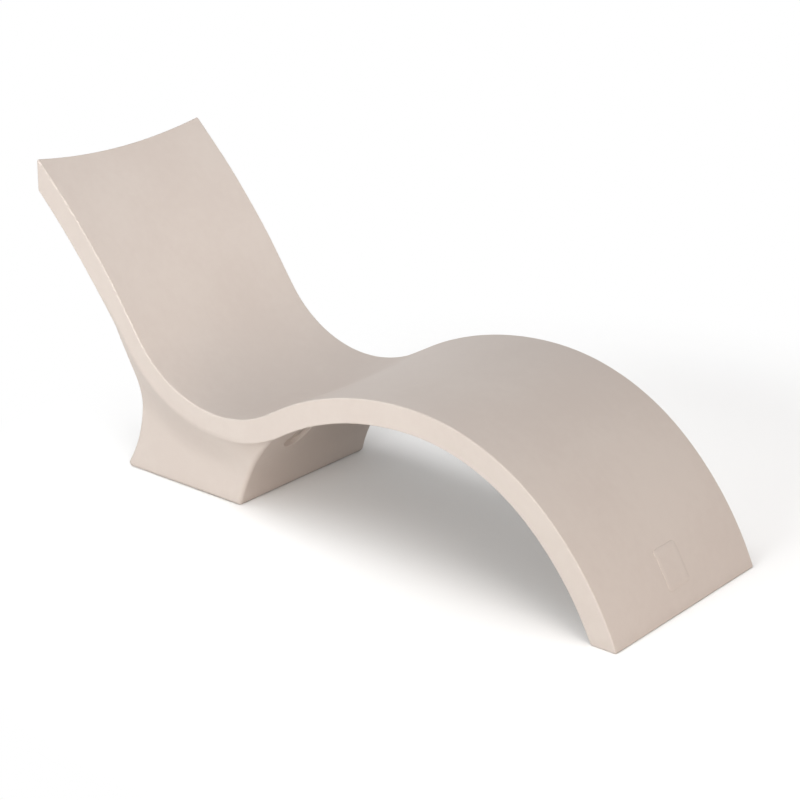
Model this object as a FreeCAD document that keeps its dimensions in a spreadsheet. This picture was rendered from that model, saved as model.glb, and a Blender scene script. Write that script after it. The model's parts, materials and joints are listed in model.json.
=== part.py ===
import FreeCAD, Part
import math
import os
import Sketcher

# In-pool chaise longue: one hollow moulded shell, and two water ports that each hold
# a moulded-in fitting, a flat seal and a screw plug. +X points to the foot, +Z up, and
# the origin is on the floor at the middle of the outline.

doc = FreeCAD.newDocument("pool_chaise")
Vector = FreeCAD.Vector

# Driving sizes, in millimetres and degrees
drivingSizes = {
    "slab_width": 600,
    "slab_thickness": 65,
    "wall": 5,
    "edge_round": 4,
    "seat_height": 260,
    "seat_radius": 334,
    "back_angle": 56.5,
    "back_radius": 2158,
    "head_reach": 630,
    "rise_angle": 32.5,
    "rise_radius": 806,
    "crest_angle": -1,
    "crest_radius": 612,
    "shin_angle": -40,
    "shin_radius": 802,
    "dish_depth": 18,
    "pedestal_inset": 50,
    "pedestal_front": 28,
    "nape_turn": 4.64,
    "nape_radius": 498,
    "heel_radius": 350,
    "flare_radius": 60,
    "flare_lip": 6,
    "blend_bite": 4,
    "floor_round": 12,
    "upright_round": 12,
    "port_inset": 170,
    "base_port_height": 185,
    "head_port_reach": 140,
    "recess_diameter": 84,
    "recess_depth": 16,
    "recess_round": 2,
    "boss_wall": 7,
    "bore_diameter": 38,
    "fitting_wall": 6,
    "fitting_length": 22,
    "fitting_proud": 2,
    "anchor_height": 3,
    "anchor_width": 4,
    "seal_thickness": 3,
    "seal_width": 7,
    "seal_clearance": 0.3,
    "flange_diameter": 58,
    "flange_thickness": 5,
    "thread_length": 15,
    "thread_clearance": 0.05,
    "plug_wall": 4,
    "plug_crown": 2,
    "slot_length": 40,
    "slot_width": 4,
    "slot_depth": 4,
    "grip_radius": 5,
}
gripCount = 8

sheet = doc.addObject("Spreadsheet::Sheet", "sizes")
for row, (alias, value) in enumerate(drivingSizes.items(), start=1):
    sheet.set("A%d" % row, alias)
    sheet.set("B%d" % row, str(value))
    sheet.setAlias("B%d" % row, alias)
doc.recompute()


def size(alias):
    return float(sheet.get(alias))


def downFrom(angle):
    # Square to the slab's top and into it, in the side view (x along, y up)
    turn = math.radians(angle)
    return Vector(math.sin(turn), -math.cos(turn), 0)


class ProfileArc:
    # One arc of the slab's top edge. A hollow arc has its centre above the slab.
    def __init__(self, centre, radius, hollow):
        self.centre = centre
        self.reach = radius if hollow else -radius

    def point(self, angle, depth):
        return self.centre + downFrom(angle) * (self.reach + depth)

    def run(self, first, last, depth):
        middle = (first + last) / 2
        return (self.point(first, depth), self.point(middle, depth), self.point(last, depth))

    def angleAtHeight(self, height, depth):
        return -math.degrees(math.acos((self.centre.y - height) / (self.reach + depth)))

    def angleAtPlace(self, place, depth):
        return math.degrees(math.asin((place - self.centre.x) / (self.reach + depth)))


thickness = size("slab_thickness")
backAngle = -size("back_angle")
riseAngle = size("rise_angle")
crestAngle = size("crest_angle")
shinAngle = size("shin_angle")

# The side profile is a chain of tangent arcs that starts at the seat's lowest point, at x 0
seat = ProfileArc(Vector(0, size("seat_height") + size("seat_radius"), 0), size("seat_radius"), True)
back = ProfileArc(
    seat.point(backAngle, 0) + downFrom(backAngle) * size("back_radius"), size("back_radius"), False
)
rise = ProfileArc(
    seat.point(riseAngle, 0) + downFrom(riseAngle) * size("rise_radius"), size("rise_radius"), False
)
crest = ProfileArc(
    rise.point(crestAngle, 0) + downFrom(crestAngle) * size("crest_radius"), size("crest_radius"), False
)
shin = ProfileArc(
    crest.point(shinAngle, 0) + downFrom(shinAngle) * size("shin_radius"), size("shin_radius"), False
)

# The foot's floor edge is rounded, which draws its tip in from the sharp corner
floorAngle = shin.angleAtHeight(0, 0)
tipLoss = size("edge_round") * (1 / math.tan(math.radians(-floorAngle / 2)) - 1)
footPlace = shin.point(floorAngle, 0).x - tipLoss
headPlace = -size("head_reach")
alongShift = -(headPlace + footPlace) / 2
sidePlane = FreeCAD.Placement(Vector(alongShift, 0, 0), FreeCAD.Rotation(Vector(1, 0, 0), 90))


def inSpace(point, across=0):
    # A point of the side view, as a place in the object's own frame
    return Vector(point.x + alongShift, across, point.y)


def lineRun(first, last):
    return (first, None, last)


def sketchOf(name, placement, runs):
    # A closed sketch of straight runs and arcs, each joined to the next
    sketch = doc.addObject("Sketcher::SketchObject", name)
    sketch.Placement = placement
    for first, middle, last in runs:
        if middle is None:
            sketch.addGeometry(Part.LineSegment(first, last), False)
        else:
            sketch.addGeometry(Part.Arc(first, middle, last), False)
    for index, run in enumerate(runs):
        following = (index + 1) % len(runs)
        joint = run[2]
        ends = [nearestEnd(sketch, number, joint) for number in (index, following)]
        sketch.addConstraint(Sketcher.Constraint("Coincident", index, ends[0], following, ends[1]))
    return sketch


def nearestEnd(sketch, index, joint):
    fromStart = (sketch.getPoint(index, 1) - joint).Length
    fromEnd = (sketch.getPoint(index, 2) - joint).Length
    return 1 if fromStart < fromEnd else 2


def bindRadius(sketch, index, expression):
    number = sketch.addConstraint(Sketcher.Constraint("Radius", index, sketch.Geometry[index].Radius))
    sketch.setExpression("Constraints[%d]" % number, expression)


def extruded(name, sketch, widthExpression):
    block = doc.addObject("Part::Extrusion", name)
    block.Base = sketch
    block.DirMode = "Normal"
    block.Solid = True
    block.Symmetric = True
    block.setExpression("LengthFwd", widthExpression)
    return block


def slabBlock(name, inset, insetText):
    # The slab as a plain ribbon, left high on top for the dished surface to be cut
    under = thickness - inset
    over = -2 * size("dish_depth")
    head = headPlace + inset
    runs = [
        back.run(back.angleAtPlace(head, under), backAngle, under),
        seat.run(backAngle, riseAngle, under),
        rise.run(riseAngle, crestAngle, under),
        crest.run(crestAngle, shinAngle, under),
        shin.run(shinAngle, shin.angleAtHeight(inset, under), under),
    ]
    upper = [
        shin.run(shin.angleAtHeight(inset, over), shinAngle, over),
        crest.run(shinAngle, crestAngle, over),
        rise.run(crestAngle, riseAngle, over),
        seat.run(riseAngle, backAngle, over),
        back.run(backAngle, back.angleAtPlace(head, over), over),
    ]
    runs.append(lineRun(runs[-1][2], upper[0][0]))
    runs.extend(upper)
    runs.append(lineRun(upper[-1][2], runs[0][0]))
    sketch = sketchOf(name + "_outline", sidePlane, runs)
    underText = "sizes.slab_thickness - " + insetText
    for index, arcName in enumerate(("back", "rise", "crest", "shin")):
        place = index if index == 0 else index + 1
        bindRadius(sketch, place, "sizes.%s_radius - (%s)" % (arcName, underText))
    bindRadius(sketch, 1, "sizes.seat_radius + " + underText)
    return extruded(name, sketch, "sizes.slab_width - 2 * " + insetText)


# The pedestal's front face is one arc from its floor edge into the rise of the slab
mergeDepth = thickness - size("blend_bite")
frontFloor = Vector(size("pedestal_front"), 0, 0)
frontMerge = seat.point(riseAngle, mergeDepth)
frontSpan = frontMerge - frontFloor
frontRadius = -frontSpan.dot(frontSpan) / (2 * downFrom(riseAngle).dot(frontSpan))
frontCentre = frontMerge + downFrom(riseAngle) * frontRadius

# Its rear face is drawn in to a waist: a nape arc from the back above, and a heel arc below
napeAngle = backAngle + size("nape_turn")
napeRadius = size("nape_radius")
napeCentre = back.point(napeAngle, mergeDepth) + downFrom(napeAngle) * napeRadius
waist = napeCentre + Vector(napeRadius, 0, 0)
heelRadius = size("heel_radius")
heelCentre = waist - Vector(heelRadius, 0, 0)


def frontAtHeight(height, inset):
    rise2 = (frontRadius + inset) ** 2 - (height - frontCentre.y) ** 2
    return Vector(frontCentre.x - math.sqrt(rise2), height, 0)


def heelAtHeight(height, inset):
    rise2 = (heelRadius + inset) ** 2 - (height - heelCentre.y) ** 2
    return Vector(heelCentre.x + math.sqrt(rise2), height, 0)


def arcBetween(centre, first, last):
    middle = (first + last) / 2 - centre
    middle.normalize()
    return (first, centre + middle * (first - centre).Length, last)


halfSlab = size("slab_width") / 2
halfPedestal = halfSlab - size("pedestal_inset")
flareRadius = size("flare_radius")
flareReach = halfSlab - size("flare_lip") - halfPedestal
flareDepth = mergeDepth + math.sqrt(flareRadius**2 - (flareRadius - flareReach) ** 2)
core = 0.6 * thickness  # how deep in the slab the pedestal's block starts
fanSpare = 3  # degrees the fans run past the pedestal


def pedestalBlock(name, inset, insetText):
    # The pedestal's side outline, trimmed by a fan that gives it its flared sides
    frontTop = seat.point(riseAngle, mergeDepth - inset)
    rearTop = back.point(napeAngle, mergeDepth - inset)
    frontFoot = frontAtHeight(inset, inset)
    rearFoot = heelAtHeight(inset, inset)
    waistPoint = waist + Vector(inset, 0, 0)
    runs = [
        lineRun(rearFoot, frontFoot),
        arcBetween(frontCentre, frontFoot, frontTop),
        lineRun(frontTop, seat.point(riseAngle, core)),
        seat.run(riseAngle, backAngle, core),
        back.run(backAngle, napeAngle, core),
        lineRun(back.point(napeAngle, core), rearTop),
        arcBetween(napeCentre, rearTop, waistPoint),
        arcBetween(heelCentre, waistPoint, rearFoot),
    ]
    outline = sketchOf(name + "_outline", sidePlane, runs)
    bindRadius(outline, 6, "sizes.nape_radius + " + insetText)
    bindRadius(outline, 7, "sizes.heel_radius + " + insetText)
    wide = extruded(name + "_wide", outline, "sizes.slab_width - 2 * " + insetText)

    # Its sides stand upright at the floor and flare out to the slab's sides above
    deep = size("seat_height") + size("seat_radius")
    radius = flareRadius + inset
    turn = math.asin((flareDepth - mergeDepth + inset) / radius)
    side = [Vector(halfPedestal - inset, deep, 0), Vector(halfPedestal - inset, flareDepth, 0)]
    axis = halfPedestal + flareRadius
    bend = Vector(axis - radius * math.cos(turn / 2), flareDepth - radius * math.sin(turn / 2), 0)
    edge = axis - radius * math.cos(turn)
    lip = [Vector(edge, mergeDepth - inset, 0), Vector(edge, core, 0)]
    mirrored = [Vector(-point.x, point.y, 0) for point in side + [bend] + lip]
    section = [
        lineRun(side[0], side[1]),
        (side[1], bend, lip[0]),
        lineRun(lip[0], lip[1]),
        lineRun(lip[1], mirrored[4]),
        lineRun(mirrored[4], mirrored[3]),
        (mirrored[3], mirrored[2], mirrored[1]),
        lineRun(mirrored[1], mirrored[0]),
        lineRun(mirrored[0], side[0]),
    ]
    intoSlab = downFrom(backAngle)
    along = Vector(0, 1, 0)
    depthAxis = Vector(intoSlab.x, 0, intoSlab.y)
    turned = FreeCAD.Rotation(along, depthAxis, along.cross(depthAxis), "XYZ")
    jointPlane = FreeCAD.Placement(inSpace(seat.point(backAngle, 0)), turned)
    profile = sketchOf(name + "_section", jointPlane, section)
    for index in (1, 5):
        bindRadius(profile, index, "sizes.flare_radius + " + insetText)

    fans = []
    for arc, arcName, sweep in (
        (seat, "seat", riseAngle - backAngle + fanSpare),
        (back, "back", napeAngle - backAngle + fanSpare),
    ):
        fan = doc.addObject("Part::Revolution", "%s_%s_fan" % (name, arcName))
        fan.Source = profile
        fan.Axis = Vector(0, -1, 0)
        fan.Base = inSpace(arc.centre)
        fan.Angle = sweep
        fan.Solid = True
        fans.append(fan)
    fan = doc.addObject("Part::MultiFuse", name + "_fan")
    fan.Shapes = fans
    block = doc.addObject("Part::MultiCommon", name)
    block.Shapes = [wide, fan]
    return block


def dishDepthAt(along):
    # The dish is full from the head to the seat's lowest point and fades out over the rise
    share = min(max(along, 0), 1)
    return size("dish_depth") * (1 - share * share * (3 - 2 * share))


halfTool = 1.15 * halfSlab  # the dish's tool is wider, taller and longer than the slab
toolHeight = 4 * size("dish_depth")
toolSpare = 3


def dishTool(name, inset):
    # Everything above the dished top, lofted through parabolas square to the profile
    headAngle = back.angleAtPlace(headPlace, 0) + toolSpare
    footAngle = floorAngle - toolSpare
    riseLength = size("seat_radius") * math.radians(riseAngle)
    fadeLength = riseLength + size("rise_radius") * math.radians(riseAngle - crestAngle)
    stations = []
    for arc, first, last, count in (
        (back, headAngle, backAngle, 5),
        (seat, backAngle, 0, 6),
        (seat, 0, riseAngle, 4),
        (rise, riseAngle, crestAngle, 6),
        (crest, crestAngle, shinAngle, 5),
        (shin, shinAngle, footAngle, 4),
    ):
        for step in range(count):
            angle = first + (last - first) * step / count
            stations.append((arc, angle))
    stations.append((shin, footAngle))

    sections = []
    for number, (arc, angle) in enumerate(stations):
        along = 0
        if arc is seat and angle > 0:
            along = size("seat_radius") * math.radians(angle) / fadeLength
        if arc is rise:
            along = (riseLength + size("rise_radius") * math.radians(riseAngle - angle)) / fadeLength
        if arc in (crest, shin):
            along = 1
        depth = dishDepthAt(along)
        edgeDepth = inset + depth * (1 - (halfTool / halfSlab) ** 2)
        poleDepth = 2 * (inset + depth) - edgeDepth
        left = inSpace(arc.point(angle, edgeDepth), -halfTool)
        pole = inSpace(arc.point(angle, poleDepth))
        right = inSpace(arc.point(angle, edgeDepth), halfTool)
        topLeft = inSpace(arc.point(angle, -toolHeight), -halfTool)
        topRight = inSpace(arc.point(angle, -toolHeight), halfTool)
        dish = Part.BezierCurve()
        dish.setPoles([left, pole, right])
        section = doc.addObject("Part::Feature", "%s_section_%d" % (name, number))
        section.Shape = Part.Wire(
            [
                dish.toShape(),
                Part.makeLine(right, topRight),
                Part.makeLine(topRight, topLeft),
                Part.makeLine(topLeft, left),
            ]
        )
        sections.append(section)
    loft = doc.addObject("Part::Loft", name)
    loft.Sections = sections
    loft.Solid = True
    return loft


def cutBy(name, base, tool):
    cut = doc.addObject("Part::Cut", name)
    cut.Base = base
    cut.Tool = tool
    return cut


def fusedFrom(name, shapes):
    fuse = doc.addObject("Part::MultiFuse", name)
    fuse.Shapes = shapes
    fuse.Refine = True
    return fuse


def bodyOf(name, inset, insetText):
    slab = slabBlock(name + "_slab", inset, insetText)
    pedestal = pedestalBlock(name + "_pedestal", inset, insetText)
    whole = fusedFrom(name + "_whole", [slab, pedestal])
    return cutBy(name, whole, dishTool(name + "_dish", inset))


def cylinder(name, radius, height, level=None):
    # A round about the local Z axis; level is the height of its lower face
    solid = doc.addObject("Part::Cylinder", name)
    solid.setExpression("Radius", radius)
    solid.setExpression("Height", height)
    if level:
        solid.setExpression("Placement.Base.z", level)
    return solid


def edgesWhere(shape, test):
    # Numbers of the edges that pass the test at both ends and between
    found = []
    for number, edge in enumerate(shape.Edges, start=1):
        first, last = edge.ParameterRange
        places = [edge.valueAt(first + (last - first) * share) for share in (0, 0.3, 0.7, 1)]
        if all(test(place) for place in places):
            found.append(number)
    return found


def rounded(name, base, groups):
    fillet = doc.addObject("Part::Fillet", name)
    fillet.Base = base
    fillet.Edges = [(number, radius, radius) for numbers, radius in groups for number in numbers]
    return fillet


near = 0.01
footStart = alongShift + crest.centre.x


def isSlabEdge(place):
    onSide = abs(abs(place.y) - size("slab_width") / 2) < near
    onHead = abs(place.x - headPlace - alongShift) < near
    onFoot = abs(place.z) < near and place.x > footStart
    return onSide or onHead or onFoot


def isPedestalFloorEdge(place, inset):
    return abs(place.z - inset) < near and place.x < footStart


def isUprightEdge(place, inset):
    # Where the pedestal's side meets its front or rear face
    if abs(place.y) < halfPedestal - inset - near:
        return False
    flat = Vector(place.x - alongShift, place.z, 0)
    faces = ((frontCentre, frontRadius), (heelCentre, heelRadius), (napeCentre, napeRadius))
    return any(abs((flat - centre).Length - radius - inset) < near for centre, radius in faces)


def pedestalEdges(shape, inset):
    floor = edgesWhere(shape, lambda place: isPedestalFloorEdge(place, inset))
    upright = edgesWhere(shape, lambda place: isUprightEdge(place, inset))
    return [(floor, size("floor_round") - inset), (upright, size("upright_round") - inset)]


def portPlacement(surface, outward):
    # On the floor of the recess, with Z pointing out of the port
    axis = Vector(outward.x, 0, outward.y)
    across = Vector(0, 1, 0)
    turned = FreeCAD.Rotation(across.cross(axis), across, axis, "ZYX")
    place = inSpace(surface, size("port_inset") - halfSlab) - axis * size("recess_depth")
    return FreeCAD.Placement(place, turned)


basePoint = frontAtHeight(size("base_port_height"), 0)
baseAxis = frontCentre - basePoint
baseAxis.normalize()
headPortAngle = back.angleAtPlace(headPlace + size("head_port_reach"), thickness)
ports = {
    "base": portPlacement(basePoint, baseAxis),
    "head": portPlacement(back.point(headPortAngle, thickness), downFrom(headPortAngle)),
}


def isRecessRim(place):
    # On a recess's wall, at the surface it is cut into
    for placement in ports.values():
        local = placement.inverse().multVec(place)
        onWall = abs(math.hypot(local.x, local.y) - size("recess_diameter") / 2) < near
        if onWall and size("recess_depth") / 2 < local.z < 2 * size("recess_depth"):
            return True
    return False


barrelRadius = "sizes.bore_diameter / 2 + sizes.fitting_wall"
anchorRadius = barrelRadius + " + sizes.anchor_height"
plugRadius = "sizes.bore_diameter / 2 - sizes.thread_clearance"
flangeTop = "sizes.seal_thickness + sizes.flange_thickness"


def fittingSolids(name):
    # A barrel with two anchor rings that the moulding grips
    barrel = cylinder(name + "_barrel", barrelRadius, "sizes.fitting_length", "-sizes.fitting_length")
    solids = [barrel]
    for number in (1, 2):
        level = "-%d / 3 * sizes.fitting_length - sizes.anchor_width / 2" % number
        ring = cylinder("%s_anchor_%d" % (name, number), anchorRadius, "sizes.anchor_width", level)
        solids.append(ring)
    return solids


def portStay(name):
    # What the wall keeps inside: the recess's cup and a boss around the fitting
    cup = cylinder(
        name + "_cup",
        "sizes.recess_diameter / 2 + sizes.wall",
        "2 * sizes.recess_depth + sizes.wall",
        "-sizes.wall",
    )
    boss = cylinder(
        name + "_boss",
        barrelRadius + " + sizes.boss_wall",
        "sizes.fitting_length - sizes.fitting_proud",
        "sizes.fitting_proud - sizes.fitting_length",
    )
    return fusedFrom(name + "_stay", [cup, boss])


def portOpening(name):
    # The recess, and the seat that the fitting fills
    recess = cylinder(name + "_recess", "sizes.recess_diameter / 2", "2 * sizes.recess_depth")
    return fusedFrom(name + "_opening", [recess] + fittingSolids(name + "_seat"))


def makeShell():
    outer = bodyOf("outer", 0, "0")
    cavity = bodyOf("cavity", size("wall"), "sizes.wall")
    doc.recompute()
    slabEdges = (edgesWhere(outer.Shape, isSlabEdge), size("edge_round"))
    form = rounded("outer_rounded", outer, [slabEdges] + pedestalEdges(outer.Shape, 0))
    room = rounded("cavity_rounded", cavity, pedestalEdges(cavity.Shape, size("wall")))
    for name, placement in ports.items():
        stay = portStay(name)
        stay.Placement = placement
        room = cutBy(name + "_room", room, stay)
    walls = cutBy("walls", form, room)
    for name, placement in ports.items():
        opening = portOpening(name)
        opening.Placement = placement
        walls = cutBy(name + "_ported", walls, opening)
    doc.recompute()
    shell = rounded("shell", walls, [(edgesWhere(walls.Shape, isRecessRim), size("recess_round"))])
    return shell


def makeFitting(name):
    form = fusedFrom(name + "_form", fittingSolids(name))
    bore = cylinder(
        name + "_bore", "sizes.bore_diameter / 2", "2 * sizes.fitting_length", "-1.5 * sizes.fitting_length"
    )
    return cutBy(name, form, bore)


def makeSeal(name):
    inner = "sizes.bore_diameter / 2 + sizes.seal_clearance"
    ring = cylinder(name + "_ring", inner + " + sizes.seal_width", "sizes.seal_thickness")
    hole = cylinder(name + "_hole", inner, "3 * sizes.seal_thickness", "-sizes.seal_thickness")
    return cutBy(name, ring, hole)


def makePlug(name):
    # A flange with a scalloped rim and a coin slot, on a hollow shank that the thread is cut on
    flange = cylinder(
        name + "_flange", "sizes.flange_diameter / 2", "sizes.flange_thickness", "sizes.seal_thickness"
    )
    shank = cylinder(
        name + "_shank", plugRadius, "sizes.thread_length + sizes.seal_thickness", "-sizes.thread_length"
    )
    solid = fusedFrom(name + "_solid", [flange, shank])

    hollow = cylinder(
        name + "_hollow",
        plugRadius + " - sizes.plug_wall",
        "2 * sizes.thread_length - sizes.plug_crown",
        "-2 * sizes.thread_length",
    )
    slot = doc.addObject("Part::Box", name + "_slot")
    slot.setExpression("Length", "sizes.slot_length")
    slot.setExpression("Width", "sizes.slot_width")
    slot.setExpression("Height", "2 * sizes.slot_depth")
    slot.setExpression("Placement.Base.x", "-sizes.slot_length / 2")
    slot.setExpression("Placement.Base.y", "-sizes.slot_width / 2")
    slot.setExpression("Placement.Base.z", flangeTop + " - sizes.slot_depth")
    cuts = [hollow, slot]
    for number in range(gripCount):
        turn = math.radians((number + 0.5) * 360 / gripCount)
        grip = cylinder(
            "%s_grip_%d" % (name, number),
            "sizes.grip_radius",
            "3 * sizes.flange_thickness",
            "sizes.seal_thickness - sizes.flange_thickness",
        )
        rim = "sizes.flange_diameter / 2 + sizes.grip_radius / 2"
        grip.setExpression("Placement.Base.x", "(%s) * %.9f" % (rim, math.cos(turn)))
        grip.setExpression("Placement.Base.y", "(%s) * %.9f" % (rim, math.sin(turn)))
        cuts.append(grip)
    return cutBy(name, solid, fusedFrom(name + "_cuts", cuts))


subParts = [makeShell()]
for portName, placement in ports.items():
    for kind, make in (("fitting", makeFitting), ("seal", makeSeal), ("plug", makePlug)):
        piece = make("%s_%s" % (portName, kind))
        piece.Placement = placement
        subParts.append(piece)
doc.recompute()

for item in doc.Objects:
    if "Invalid" in item.State or "Error" in item.State:
        raise RuntimeError("%s failed: %s" % (item.Label, item.State))
for piece in subParts:
    shape = piece.Shape
    if shape.isNull() or not shape.isValid() or len(shape.Solids) != 1:
        raise RuntimeError("%s is not one sound solid" % piece.Label)
    print("%s: %.1f cm3" % (piece.Label, shape.Volume / 1000))

os.makedirs("parts", exist_ok=True)
for piece in subParts:
    piece.Shape.exportStep(os.path.join("parts", piece.Label + ".step"))
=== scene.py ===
import bmesh
import bpy
import json
import math
from mathutils import Matrix, Vector
from mathutils.geometry import tessellate_polygon


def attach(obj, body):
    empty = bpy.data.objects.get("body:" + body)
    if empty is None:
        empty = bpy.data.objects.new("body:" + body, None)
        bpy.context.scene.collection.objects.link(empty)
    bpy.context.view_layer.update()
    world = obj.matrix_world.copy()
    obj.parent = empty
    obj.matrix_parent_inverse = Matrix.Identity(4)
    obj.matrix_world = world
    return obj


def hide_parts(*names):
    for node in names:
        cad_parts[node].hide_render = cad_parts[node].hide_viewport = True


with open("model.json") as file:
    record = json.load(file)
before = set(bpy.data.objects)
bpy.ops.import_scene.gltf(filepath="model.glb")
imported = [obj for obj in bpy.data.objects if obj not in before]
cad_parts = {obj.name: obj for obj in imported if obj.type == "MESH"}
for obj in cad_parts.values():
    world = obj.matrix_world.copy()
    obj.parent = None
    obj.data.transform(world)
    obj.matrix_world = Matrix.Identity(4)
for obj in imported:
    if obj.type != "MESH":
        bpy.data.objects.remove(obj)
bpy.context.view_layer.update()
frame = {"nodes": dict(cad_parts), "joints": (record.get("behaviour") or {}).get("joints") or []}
scene = bpy.context.scene
scene.view_settings.view_transform = "Standard"
mm = 0.001
print("stage: frame loaded")


# A shader socket that takes part in Python expressions
class Flow:
    def __init__(self, finish, socket):
        self.finish = finish
        self.socket = socket

    def maths(self, operation, first, second=0.0):
        return self.finish.add("ShaderNodeMath", {"operation": operation}, {0: first, 1: second})

    def __add__(self, other):
        return self.maths("ADD", self, other)

    def __radd__(self, other):
        return self.maths("ADD", other, self)

    def __sub__(self, other):
        return self.maths("SUBTRACT", self, other)

    def __rsub__(self, other):
        return self.maths("SUBTRACT", other, self)

    def __mul__(self, other):
        return self.maths("MULTIPLY", self, other)

    def __abs__(self):
        return self.maths("ABSOLUTE", self)

    def between(self, low, high):  # 0 below low, 1 above high, eased
        sockets = {"Value": self, "From Min": low, "From Max": high}
        return self.finish.add("ShaderNodeMapRange", {"interpolation_type": "SMOOTHSTEP"}, sockets)


# One node tree, and the nodes its look is made of
class Finish:
    def __init__(self, tree):
        self.tree = tree
        self.tree.nodes.clear()

    def add(self, kind, settings=None, sockets=None, out=0):
        node = self.tree.nodes.new(kind)
        for key, value in (settings or {}).items():
            setattr(node, key, value)
        for key, value in (sockets or {}).items():
            if isinstance(value, Flow):
                self.tree.links.new(value.socket, node.inputs[key])
            else:
                node.inputs[key].default_value = value
        return Flow(self, node.outputs[out]) if node.outputs else node

    def noise(self, where, scale, detail=2.0, roughness=0.5):
        sockets = {"Vector": where, "Scale": scale, "Detail": detail, "Roughness": roughness}
        return self.add("ShaderNodeTexNoise", {}, sockets)

    def mixColour(self, factor, first, second):
        return self.add("ShaderNodeMix", {"data_type": "RGBA"}, {0: factor, 6: first, 7: second}, out=2)

    def place(self):
        return self.add("ShaderNodeTexCoord", out="Object")

    def axis(self, where, letter):
        return self.add("ShaderNodeSeparateXYZ", {}, {0: where}, out=letter)

    def bump(self, height, distance, strength, under=None):
        sockets = {"Height": height, "Distance": distance, "Strength": strength}
        if under:
            sockets["Normal"] = under
        return self.add("ShaderNodeBump", {}, sockets)


def newMaterial(name):
    material = bpy.data.materials.new(name)
    material.use_nodes = True
    return material, Finish(material.node_tree)


def closeSurface(finish, sockets):
    shader = finish.add("ShaderNodeBsdfPrincipled", {}, sockets)
    finish.add("ShaderNodeOutputMaterial", {}, {"Surface": shader})


def linear(red, green, blue):  # an sRGB colour, 0 to 255, as linear light
    shares = [channel / 255 for channel in (red, green, blue)]
    return tuple(s / 12.92 if s <= 0.04045 else ((s + 0.055) / 1.055) ** 2.4 for s in shares) + (1.0,)


shellLook = {
    "colour": linear(217, 206, 198),
    "shade": linear(213, 201, 193),
    # painted highlight: the paler colour, and its share, in patches along the side edges
    "edgeHighlight": linear(226, 217, 209),
    "edgeHighlightShare": 0.15,
    # darker colour towards the bottom, its share, and the heights between which it fades out
    "lowDark": linear(176, 164, 152),
    "lowDarkShare": 0.14,
    "lowDarkHeight": (0.008, 0.04),
    "roughness": 0.5,
    "gloss": 0.25,
    "cloudScale": 2.6,
    "mottleScale": 38.0,
    "grainScale": 620.0,
    "peelScale": 95.0,
    "grainHeight": 0.25 * mm,
    "peelHeight": 0.5 * mm,
    "edgeAt": 0.2985,
    "edgeInside": 2 * mm,
    "edgeOutside": 1 * mm,
}


def makeShellPlastic():
    look = shellLook
    material, plastic = newMaterial("mouldedPlastic")
    where = plastic.place()
    cloud = plastic.noise(where, look["cloudScale"], 3.0)
    mottle = plastic.noise(where, look["mottleScale"], 4.0, 0.6)
    grain = plastic.noise(where, look["grainScale"], 2.0, 0.6)
    peel = plastic.noise(where, look["peelScale"])
    tone = (cloud * 0.7 + mottle * 0.3).between(0.35, 0.65)
    colour = plastic.mixColour(tone, look["shade"], look["colour"])
    # Painted highlight in patches along the side edges, and darker just above the floor
    side = abs(plastic.axis(where, "Y"))
    edge = look["edgeAt"]
    rising = side.between(edge - look["edgeInside"], edge)
    onEdge = rising * (1 - side.between(edge, edge + look["edgeOutside"]))
    # painted highlight: paler in patches on the rounded side edges, and a little rougher there
    edgeHighlightMask = onEdge * mottle.between(0.45, 0.7)
    colour = plastic.mixColour(edgeHighlightMask * look["edgeHighlightShare"], colour, look["edgeHighlight"])
    # darker towards the bottom, fading out between 8 and 40 mm above the floor, and a little rougher there
    low = 1 - (plastic.axis(where, "Z") + mottle * 0.02).between(*look["lowDarkHeight"])
    colour = plastic.mixColour(low * look["lowDarkShare"], colour, look["lowDark"])
    rough = look["roughness"] + (mottle - 0.5) * 0.14 + (grain - 0.5) * 0.1 + low * 0.1 + edgeHighlightMask * 0.06
    normal = plastic.bump(grain, look["grainHeight"], 0.7, plastic.bump(peel, look["peelHeight"], 0.3))
    sockets = {"Base Color": colour, "Roughness": rough, "Normal": normal}
    sockets["Specular IOR Level"] = look["gloss"]
    closeSurface(plastic, sockets)
    return material


partLooks = {
    "fitting": {"name": "fittingPlastic", "colour": linear(206, 200, 190), "dark": linear(184, 176, 164),
                "roughness": 0.42, "relief": 0.15 * mm},
    "plug": {"name": "plugPlastic", "colour": linear(208, 195, 185), "dark": linear(190, 176, 165),
             "roughness": 0.46, "relief": 0.2 * mm},
    "seal": {"name": "sealRubber", "colour": linear(44, 42, 41), "dark": linear(26, 25, 25),
             "roughness": 0.68, "relief": 0.2 * mm},
}
partNoise = {"cloudScale": 60.0, "scuffScale": 420.0, "grainScale": 1500.0}


def makePartFinish(look):
    material, finish = newMaterial(look["name"])
    where = finish.place()
    cloud = finish.noise(where, partNoise["cloudScale"], 3.0)
    scuff = finish.noise(where, partNoise["scuffScale"], 3.0, 0.7)
    grain = finish.noise(where, partNoise["grainScale"])
    tone = (cloud * 0.6 + scuff * 0.4).between(0.35, 0.65)
    colour = finish.mixColour(tone, look["dark"], look["colour"])
    rough = look["roughness"] + (cloud - 0.5) * 0.2 + (scuff - 0.5) * 0.15
    normal = finish.bump(grain, look["relief"], 0.5)
    closeSurface(finish, {"Base Color": colour, "Roughness": rough, "Normal": normal})
    return material


shellPlastic = makeShellPlastic()
finishes = {kind: makePartFinish(look) for kind, look in partLooks.items()}


def dressNode(name, material):
    mesh = frame["nodes"][name].data
    mesh.materials.clear()
    mesh.materials.append(material)


# The gaskets are shown as the solids have them; the other nodes have pieces in their place
for port in ("base", "head"):
    dressNode(port + "_seal", finishes["seal"])
print("stage: materials ready")


def newPiece(name, mesh, material, smoothAngle):
    mesh.shade_smooth()
    mesh.set_sharp_from_angle(angle=math.radians(smoothAngle))
    mesh.materials.append(material)
    piece = bpy.data.objects.new(name, mesh)
    scene.collection.objects.link(piece)
    return piece


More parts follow.
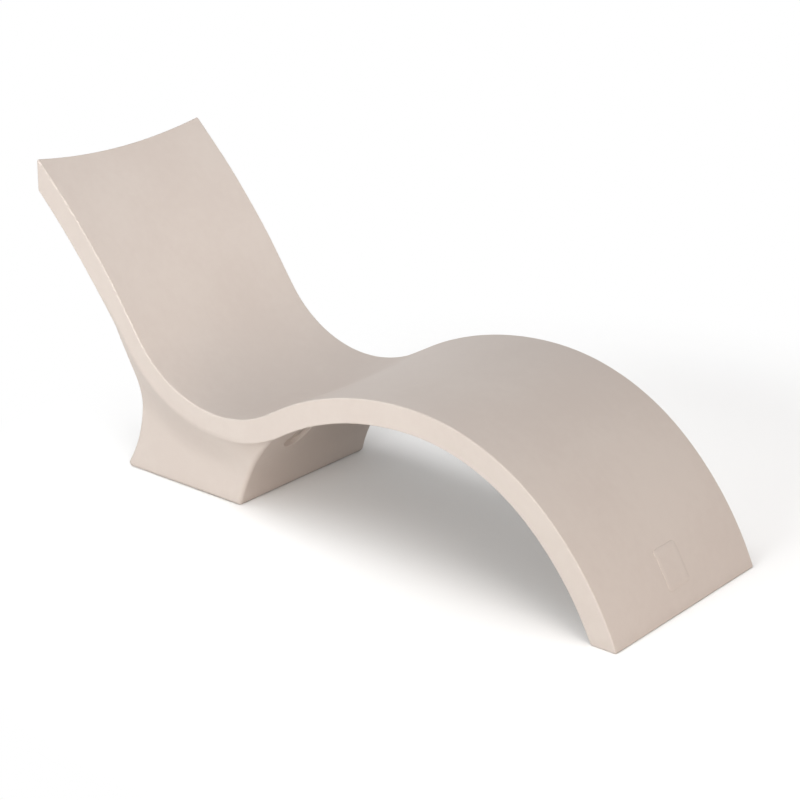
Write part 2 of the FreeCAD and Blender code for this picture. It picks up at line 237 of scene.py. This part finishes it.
# Closed loops of points, skinned one to the next, with flat or fanned ends
class Skin:
    def __init__(self):
        self.points = []
        self.faces = []

    def loop(self, points):
        first = len(self.points)
        self.points.extend(Vector(point) for point in points)
        return list(range(first, len(self.points)))

    def join(self, one, other):
        count = len(one)
        for index in range(count):
            following = (index + 1) % count
            self.faces.append((one[index], one[following], other[following], other[index]))

    def chain(self, loops):
        for one, other in zip(loops, loops[1:]):
            self.join(one, other)

    def fan(self, loop, middle, turned=False):
        centre = self.loop([middle])[0]
        for index, point in enumerate(loop):
            following = loop[(index + 1) % len(loop)]
            self.faces.append((following, point, centre) if turned else (point, following, centre))

    def sheet(self, outline, holes=()):  # a flat face with holes, by the loops' point numbers
        loops = [outline] + [list(hole) for hole in holes]
        numbers = [number for loop in loops for number in loop]
        for corners in tessellate_polygon([[self.points[number] for number in loop] for loop in loops]):
            self.faces.append(tuple(numbers[corner] for corner in corners))

    def piece(self, name, material, place, smoothAngle):
        mesh = bpy.data.meshes.new(name)
        mesh.from_pydata([place @ point for point in self.points], [], self.faces)
        mesh.validate()
        repairNormals(mesh)
        return newPiece(name, mesh, material, smoothAngle)


def repairNormals(mesh):
    work = bmesh.new()
    work.from_mesh(mesh)
    bmesh.ops.recalc_face_normals(work, faces=work.faces)
    work.to_mesh(mesh)
    work.free()


def ring(radius, level, count):  # radius is a number, or a function of the angle and level
    points = []
    for index in range(count):
        angle = 2 * math.pi * index / count
        reach = radius(angle, level) if callable(radius) else radius
        points.append((reach * math.cos(angle), reach * math.sin(angle), level))
    return points


thread = {"pitch": 3.0 * mm, "depth": 1.2 * mm, "rowsPerTurn": 12, "flat": 0.22, "runOut": 0.6}


def threadHeight(angle, level, low, high):
    # 0 at the root and 1 at the crest of a right-handed helix, fading out at both ends
    share = (level / thread["pitch"] - angle / (2 * math.pi)) % 1
    slope = min(1.0, max(0.0, (abs(2 * share - 1) - thread["flat"]) / (1 - 2 * thread["flat"])))
    ends = min((level - low), (high - level)) / (thread["runOut"] * thread["pitch"])
    return slope * min(1.0, max(0.0, ends))


def threadLevels(low, high):
    count = math.ceil((high - low) / thread["pitch"] * thread["rowsPerTurn"])
    return [high + (low - high) * index / count for index in range(count + 1)]


plug = {
    "count": 160,
    "smoothAngle": 35,
    "rim": 29.0 * mm,
    "scallops": 8,
    "scallopRadius": 5.0 * mm,
    "top": 8.0 * mm,
    "underside": 3.0 * mm,
    "soften": 0.9 * mm,
    "crest": 18.9 * mm,
    "lead": 1.2 * mm,
    "tip": -15.0 * mm,
    "tipTaper": 0.6 * mm,
    "bore": 14.95 * mm,
    "boreTop": -2.0 * mm,
    "slotLength": 40.0 * mm,
    "slotWidth": 4.0 * mm,
    "slotFloor": 4.0 * mm,
    "slotSoften": 0.4 * mm,
    "slotSteps": 8,
}


def rimAt(angle, inset):  # the flange's edge, with its finger scallops
    step = 2 * math.pi / plug["scallops"]
    away = (angle % step) - step / 2
    middle = plug["rim"] + plug["scallopRadius"] / 2
    reach = plug["scallopRadius"] + inset
    inside = reach**2 - (middle * math.sin(away)) ** 2
    outer = plug["rim"] - inset
    if inside <= 0:
        return outer
    return min(outer, middle * math.cos(away) - math.sqrt(inside))


def slotLoop(spare, level):
    # The coin slot's outline with rounded ends
    half = plug["slotWidth"] / 2 + spare
    straight = plug["slotLength"] / 2 - plug["slotWidth"] / 2
    steps = plug["slotSteps"]
    points = []
    for end in (1, -1):
        for index in range(steps + 1):
            angle = math.pi * (index / steps - 0.5)
            points.append((end * (straight + half * math.cos(angle)), end * half * math.sin(angle), level))
    return points


def makePlug(name, place):
    skin = Skin()
    soften = plug["soften"]
    count = plug["count"]
    slots = [
        skin.loop(slotLoop(plug["slotSoften"], plug["top"])),
        skin.loop(slotLoop(0, plug["top"] - plug["slotSoften"])),
        skin.loop(slotLoop(0, plug["slotFloor"] + plug["slotSoften"])),
        skin.loop(slotLoop(-plug["slotSoften"], plug["slotFloor"])),
    ]
    skin.chain(slots)
    skin.sheet(slots[-1])

    def rimLoop(inset, level):
        return skin.loop(ring(lambda angle, height: rimAt(angle, inset), level, count))

    flange = [
        rimLoop(soften, plug["top"]),
        rimLoop(0.3 * soften, plug["top"] - 0.3 * soften),
        rimLoop(0, plug["top"] - soften),
        rimLoop(0, plug["underside"] + 0.5 * soften),
        rimLoop(0.5 * soften, plug["underside"]),
    ]
    skin.sheet(flange[0], [slots[0]])
    low = plug["tip"] + plug["lead"]
    high = plug["underside"] - plug["lead"]
    root = plug["crest"] - thread["depth"]

    def flank(angle, level):
        return root + thread["depth"] * threadHeight(angle, level, low, high)

    shank = [skin.loop(ring(root, plug["underside"], count))]
    shank += [skin.loop(ring(flank, level, count)) for level in threadLevels(low, high)]
    shank.append(skin.loop(ring(root - plug["tipTaper"], plug["tip"], count)))
    inside = [skin.loop(ring(plug["bore"], level, count)) for level in (plug["tip"], plug["boreTop"])]
    skin.chain(flange + shank + inside)
    skin.fan(inside[-1], (0, 0, plug["boreTop"]))
    piece = skin.piece(name + "_threaded", finishes["plug"], place, plug["smoothAngle"])
    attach(piece, name)
    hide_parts(name)


fitting = {
    "count": 160,
    "smoothAngle": 35,
    "barrel": 25.0 * mm,
    "anchor": 28.0 * mm,
    "anchorWidth": 4.0 * mm,
    "length": 22.0 * mm,
    "bore": 19.0 * mm,
    "lead": 1.0 * mm,
}


def makeFitting(name, place):
    # A barrel with two anchor rings outside and a cut thread inside
    skin = Skin()
    count = fitting["count"]
    length = fitting["length"]
    half = fitting["anchorWidth"] / 2
    outside = [(fitting["barrel"], 0.0)]
    for share in (1, 2):
        middle = -share * length / 3
        for level in (middle + half, middle - half):
            near = (fitting["barrel"], level)
            far = (fitting["anchor"], level)
            outside += [near, far] if level > middle else [far, near]
    outside.append((fitting["barrel"], -length))
    low = -length + fitting["lead"]
    high = -fitting["lead"]

    def groove(angle, level):
        return fitting["bore"] + thread["depth"] * (1 - threadHeight(angle, level, low, high))

    mouth = fitting["bore"] + thread["depth"]
    loops = [skin.loop(ring(radius, level, count)) for radius, level in outside]
    loops.append(skin.loop(ring(mouth, -length, count)))
    loops += [skin.loop(ring(groove, level, count)) for level in reversed(threadLevels(low, high))]
    loops.append(skin.loop(ring(mouth, 0.0, count)))
    skin.chain(loops + loops[:1])
    piece = skin.piece(name + "_threaded", finishes["fitting"], place, fitting["smoothAngle"])
    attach(piece, "shell")
    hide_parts(name)


def portPlaces():
    # Each port's own frame, with Z pointing out of it, from the joint its plug turns on
    across = Vector((0, 1, 0))
    for joint in frame["joints"]:
        if joint["type"] == "hinge":
            axis = Vector(joint["axis"]).normalized()
            turn = Matrix((across.cross(axis), across, axis)).transposed().to_4x4()
            yield joint["child"].split("_")[0], Matrix.Translation(joint["pos_m"]) @ turn


for portName, portPlace in portPlaces():
    makePlug(portName + "_plug", portPlace)
    makeFitting(portName + "_fitting", portPlace)
print("stage: ports made")


# The moulded shell again, with its pedestal's sides flowing out of the slab's in one soft bend.
# Points move across only, so the pedestal's front, back and foot keep their form.
blend = {
    "seatAxis": (-298.75 * mm, 594 * mm),
    "seatUnder": 399 * mm,
    "backTurn": -56.5,
    "backUnder": 2093 * mm,
    "riseTurn": 32.5,
    "riseUnder": 741 * mm,
    "slabHalf": 300 * mm,
    "slabEdge": 280 * mm,
    "pedestalHalf": 250 * mm,
    "flareRadius": 60 * mm,
    "flareEnd": 53.8 * mm,
    "flareShare": 0.98,
    "start": -14 * mm,
    "end": 120 * mm,
    "margin": 8 * mm,
    "skew": 0.7,
    "rearFade": (-84, -58),
    "frontFade": (0, 24),
    "upright": 13 * mm,
    "cell": 8 * mm,
    "passes": 8,
    "portReach": 50 * mm,
    "samePoint": 0.001 * mm,
    "sliver": 0.02 * mm,
    "smoothAngle": 30,
}


def eased(value, low, high):
    share = min(1.0, max(0.0, (value - low) / (high - low)))
    return share * share * (3 - 2 * share)


def roundSeat(point):  # degrees round the seat's axis, 0 straight below it, and the distance from it
    x, z = blend["seatAxis"]
    turn = math.degrees(math.atan2(point.x - x, z - point.z))
    return turn, math.hypot(point.x - x, point.z - z)


def underSlab(point):  # how far below the slab's underside
    turn, reach = roundSeat(point)
    if turn < blend["backTurn"]:
        edge, radius = blend["backTurn"], blend["backUnder"]
    elif turn > blend["riseTurn"]:
        edge, radius = blend["riseTurn"], blend["riseUnder"]
    else:
        return reach - blend["seatUnder"]
    x, z = blend["seatAxis"]
    lean = math.radians(edge)
    apart = blend["seatUnder"] + radius
    centre = (x + apart * math.sin(lean), z - apart * math.cos(lean))
    return radius - math.hypot(point.x - centre[0], point.z - centre[1])


def solidHalf(point):  # half the pedestal's width, as the solid has it
    turn, reach = roundSeat(point)
    radius = blend["flareRadius"]
    above = max(blend["flareEnd"] - (reach - blend["seatUnder"]), 0.0)
    above = min(above, blend["flareShare"] * radius)
    return blend["pedestalHalf"] + radius - math.sqrt(radius**2 - above**2)


def softHalf(depth):  # half the width, once softened
    share = min(1.0, max(0.0, (depth - blend["start"]) / (blend["end"] - blend["start"])))
    drop = blend["slabHalf"] - blend["pedestalHalf"]
    return blend["slabHalf"] - drop * eased(share ** blend["skew"], 0, 1)


def inBlend(point):
    turn, reach = roundSeat(point)
    margin = blend["margin"]
    wide = abs(point.y) > blend["pedestalHalf"] - blend["upright"]
    near = blend["start"] - margin < underSlab(point) < blend["end"] + margin
    return wide and near and blend["rearFade"][0] < turn < blend["frontFade"][1]


def softened(point):
    # The point's new place across; faces that lie inside the flare stay where they are
    depth = underSlab(point)
    half = abs(point.y)
    if depth > 0:
        solid = solidHalf(point)
        inside = half < solid - blend["upright"]
    else:
        solid = half
        inside = half < blend["slabEdge"]
    if inside:
        return point.y
    turn, reach = roundSeat(point)
    share = eased(turn, *blend["rearFade"]) * (1 - eased(turn, *blend["frontFade"]))
    return math.copysign(half + share * (softHalf(depth) - max(half, solid)), point.y)


def splitLarge(work):
    bmesh.ops.triangulate(work, faces=[face for face in work.faces if len(face.verts) > 3])


def refineBlend(work):
    for turn in range(blend["passes"]):
        cuts = []
        for edge in work.edges:
            if edge.calc_length() > blend["cell"]:
                one, other = edge.verts[0].co, edge.verts[1].co
                if inBlend(one) or inBlend(other) or inBlend((one + other) / 2):
                    cuts.append(edge)
        if not cuts:
            return
        bmesh.ops.subdivide_edges(work, edges=cuts, cuts=1)
        splitLarge(work)


def outerPoints(work, ports):
    # What a walk from the widest point reaches without going in through a port
    start = max(work.verts, key=lambda vert: vert.co.y)
    seen = {start}
    waiting = [start]
    while waiting:
        for edge in waiting.pop().link_edges:
            for vert in edge.verts:
                clear = all((vert.co - port).length > blend["portReach"] for port in ports)
                if clear and vert not in seen:
                    seen.add(vert)
                    waiting.append(vert)
    return seen


def makeShellSkin(ports):
    work = bmesh.new()
    work.from_mesh(frame["nodes"]["shell"].data)
    bmesh.ops.remove_doubles(work, verts=work.verts, dist=blend["samePoint"])
    refineBlend(work)
    for vert in outerPoints(work, ports):
        if inBlend(vert.co):
            vert.co.y = softened(vert.co)
    bmesh.ops.dissolve_degenerate(work, edges=work.edges, dist=blend["sliver"])
    splitLarge(work)
    bmesh.ops.recalc_face_normals(work, faces=work.faces)
    mesh = bpy.data.meshes.new("shell_skin")
    work.to_mesh(mesh)
    work.free()
    piece = newPiece("shell_skin", mesh, shellPlastic, blend["smoothAngle"])
    areaNormals = piece.modifiers.new("areaNormals", "WEIGHTED_NORMAL")
    areaNormals.keep_sharp = True
    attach(piece, "shell")
    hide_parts("shell")


makeShellSkin([portPlace.translation for portName, portPlace in portPlaces()])
print("stage: shell made")


# A plain raised panel on the leg, where a mark would go
panel = {
    "width": 88 * mm,
    "length": 104 * mm,
    "corner": 9 * mm,
    "steps": 8,
    "lift": 1.4 * mm,
    "soften": 1.2 * mm,
    "sunk": 1.5 * mm,
    "innerLoops": (0.75, 0.5, 0.25),
    "smoothAngle": 40,
    "axisAt": (0.19505, -0.3191),
    "radius": 802 * mm,
    "angle": 58.6,
}


def panelOutline(inset):
    # A rounded rectangle, along and across; its sides are in steps so that they bend with the leg
    corner = panel["corner"] - inset
    reach = panel["length"] / 2 - panel["corner"], panel["width"] / 2 - panel["corner"]
    steps = panel["steps"]
    arcs = []
    for quarter, (along, across) in enumerate(((1, 1), (-1, 1), (-1, -1), (1, -1))):
        middle = Vector((along * reach[0], across * reach[1]))
        turns = [math.radians(90 * quarter + 90 * step / steps) for step in range(steps + 1)]
        arcs.append([middle + corner * Vector((math.cos(turn), math.sin(turn))) for turn in turns])
    outline = []
    for arc, following in zip(arcs, arcs[1:] + arcs[:1]):
        outline += arc + [arc[-1].lerp(following[0], step / steps) for step in range(1, steps)]
    return outline


def onLeg(along, across, lift):
    angle = math.radians(panel["angle"]) + along / panel["radius"]
    reach = panel["radius"] + lift
    x, z = panel["axisAt"]
    return (x + reach * math.sin(angle), across, z + reach * math.cos(angle))


def panelLoop(scale, inset, lift):
    return [onLeg(scale * along, scale * across, lift) for along, across in panelOutline(inset)]


def makePanel():
    skin = Skin()
    lift = panel["lift"]
    soften = panel["soften"]
    loops = [
        skin.loop(panelLoop(1, 0, -panel["sunk"])),
        skin.loop(panelLoop(1, 0, lift - soften)),
        skin.loop(panelLoop(1, 0.3 * soften, lift - 0.3 * soften)),
        skin.loop(panelLoop(1, soften, lift)),
    ]
    loops += [skin.loop(panelLoop(scale, soften, lift)) for scale in panel["innerLoops"]]
    skin.chain(loops)
    skin.fan(loops[-1], onLeg(0, 0, lift))
    base = [skin.loop(panelLoop(scale, 0, -panel["sunk"])) for scale in panel["innerLoops"]]
    skin.chain([loops[0]] + base)
    skin.fan(base[-1], onLeg(0, 0, -panel["sunk"]), True)
    piece = skin.piece("blank_panel", shellPlastic, Matrix(), panel["smoothAngle"])
    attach(piece, "shell")


makePanel()
print("stage: panel made")


studio = {
    "floorSize": 60.0,
    "floorTone": (0.39, 0.37, 0.355, 1.0),  # what the floor throws back on the object
    "floorSeen": (0.84, 0.84, 0.84, 1.0),  # the white paper as it is seen, with the object's shadow on it
    "fadeFrom": (0.45, 0.25, 0.0),
    "fadeStart": 0.9,
    "fadeEnd": 1.7,
    "worldStrength": 0.54,
}
lamps = {
    "frontBox": {"place": (0.3, -4.5, 1.0), "target": (0.0, 0.0, 0.35), "size": 2.6,
                 "power": 103.0, "spread": 180, "colour": (0.96, 1.0, 1.0)},
    "leftBox": {"place": (-4.0, -2.6, 2.0), "target": (-0.2, 0.0, 0.35), "size": 2.5,
                "power": 25.0, "spread": 180, "colour": (1.0, 1.0, 1.0)},
    "rightBox": {"place": (4.5, -1.5, 1.0), "target": (0.0, 0.0, 0.35), "size": 2.0,
                 "power": 60.0, "spread": 180, "colour": (1.0, 0.88, 0.79)},
    "backBox": {"place": (0.9, -1.2, 2.2), "target": (-0.8, 0.0, 0.6), "size": 0.8,
                "power": 2.1, "spread": 60, "colour": (1.0, 1.0, 1.0)},
}
paperLight = {"from": (-0.3, -0.12, 1.0), "strength": 1.35, "spread": 40}


def seenRays(finish):
    # 1 for what the camera sees directly, in a gloss or through glass
    kinds = ("Is Camera Ray", "Is Glossy Ray", "Is Transmission Ray")
    camera, glossy, through = [finish.add("ShaderNodeLightPath", out=kind) for kind in kinds]
    return camera + glossy + through


def makeFloor():
    half = studio["floorSize"] / 2
    mesh = bpy.data.meshes.new("floor")
    corners = [(-half, -half, 0), (half, -half, 0), (half, half, 0), (-half, half, 0)]
    mesh.from_pydata(corners, [], [(0, 1, 2, 3)])
    floor = bpy.data.objects.new("floor", mesh)
    scene.collection.objects.link(floor)
    material, paper = newMaterial("whitePaper")
    seen = seenRays(paper)
    colour = paper.mixColour(seen, studio["floorTone"], studio["floorSeen"])
    sockets = {"Base Color": colour, "Roughness": 1.0, "Specular IOR Level": 0.0}
    lit = paper.add("ShaderNodeBsdfPrincipled", {}, sockets)
    plain = paper.add("ShaderNodeEmission", {}, {"Color": (1, 1, 1, 1), "Strength": 1.0})
    sockets = {0: paper.place(), 1: studio["fadeFrom"]}
    away = paper.add("ShaderNodeVectorMath", {"operation": "DISTANCE"}, sockets, out="Value")
    fade = seen * away.between(studio["fadeStart"], studio["fadeEnd"])
    both = paper.add("ShaderNodeMixShader", {}, {0: fade, 1: lit, 2: plain})
    paper.add("ShaderNodeOutputMaterial", {}, {"Surface": both})
    mesh.materials.append(material)
    lightFloor(floor)


def lightFloor(floor):
    # A lamp overhead for the paper alone, so that it is white and the shadow on it deep
    data = bpy.data.lights.new("paperLight", "SUN")
    data.energy = paperLight["strength"]
    data.angle = math.radians(paperLight["spread"])
    lamp = bpy.data.objects.new("paperLight", data)
    lamp.rotation_euler = Vector(paperLight["from"]).to_track_quat("Z", "Y").to_euler()
    scene.collection.objects.link(lamp)
    paperOnly = bpy.data.collections.new("paperOnly")
    paperOnly.objects.link(floor)
    lamp.light_linking.receiver_collection = paperOnly


def makeLight():
    for name, lamp in lamps.items():
        data = bpy.data.lights.new(name, "AREA")
        data.energy = lamp["power"]
        data.color = lamp["colour"]
        data.size = lamp["size"]
        data.spread = math.radians(lamp["spread"])
        box = bpy.data.objects.new(name, data)
        box.location = lamp["place"]
        away = Vector(lamp["place"]) - Vector(lamp["target"])
        box.rotation_euler = away.to_track_quat("Z", "Y").to_euler()
        scene.collection.objects.link(box)
    world = bpy.data.worlds.new("studio")
    world.use_nodes = True
    scene.world = world
    air = Finish(world.node_tree)
    strength = seenRays(air) * (1 - studio["worldStrength"]) + studio["worldStrength"]
    shader = air.add("ShaderNodeBackground", {}, {"Color": (1, 1, 1, 1), "Strength": strength})
    air.add("ShaderNodeOutputWorld", {}, {"Surface": shader})


# The photograph's viewpoint, fitted to the object's own edges
view = {
    "place": (3.3698, -4.1262, 2.3724),
    "yaw": -38.779,
    "pitch": -21.346,
    "roll": 0.768,
    "lens": 101.21,
    "sensor": 36.0,
}


def makeCamera():
    yaw = math.radians(view["yaw"])
    pitch = math.radians(view["pitch"])
    roll = math.radians(view["roll"])
    ahead = Vector((math.sin(yaw) * math.cos(pitch), math.cos(yaw) * math.cos(pitch), math.sin(pitch)))
    right = Vector((math.cos(yaw), -math.sin(yaw), 0))
    up = right.cross(ahead)
    tiltedRight = right * math.cos(roll) + up * math.sin(roll)
    tiltedUp = up * math.cos(roll) - right * math.sin(roll)
    turn = Matrix((tiltedRight, tiltedUp, -ahead)).transposed().to_4x4()
    data = bpy.data.cameras.new("photoView")
    data.lens = view["lens"]
    data.sensor_width = view["sensor"]
    camera = bpy.data.objects.new("photoView", data)
    camera.matrix_world = Matrix.Translation(view["place"]) @ turn
    scene.collection.objects.link(camera)
    scene.camera = camera


makeFloor()
makeLight()
makeCamera()
print("stage: studio ready")
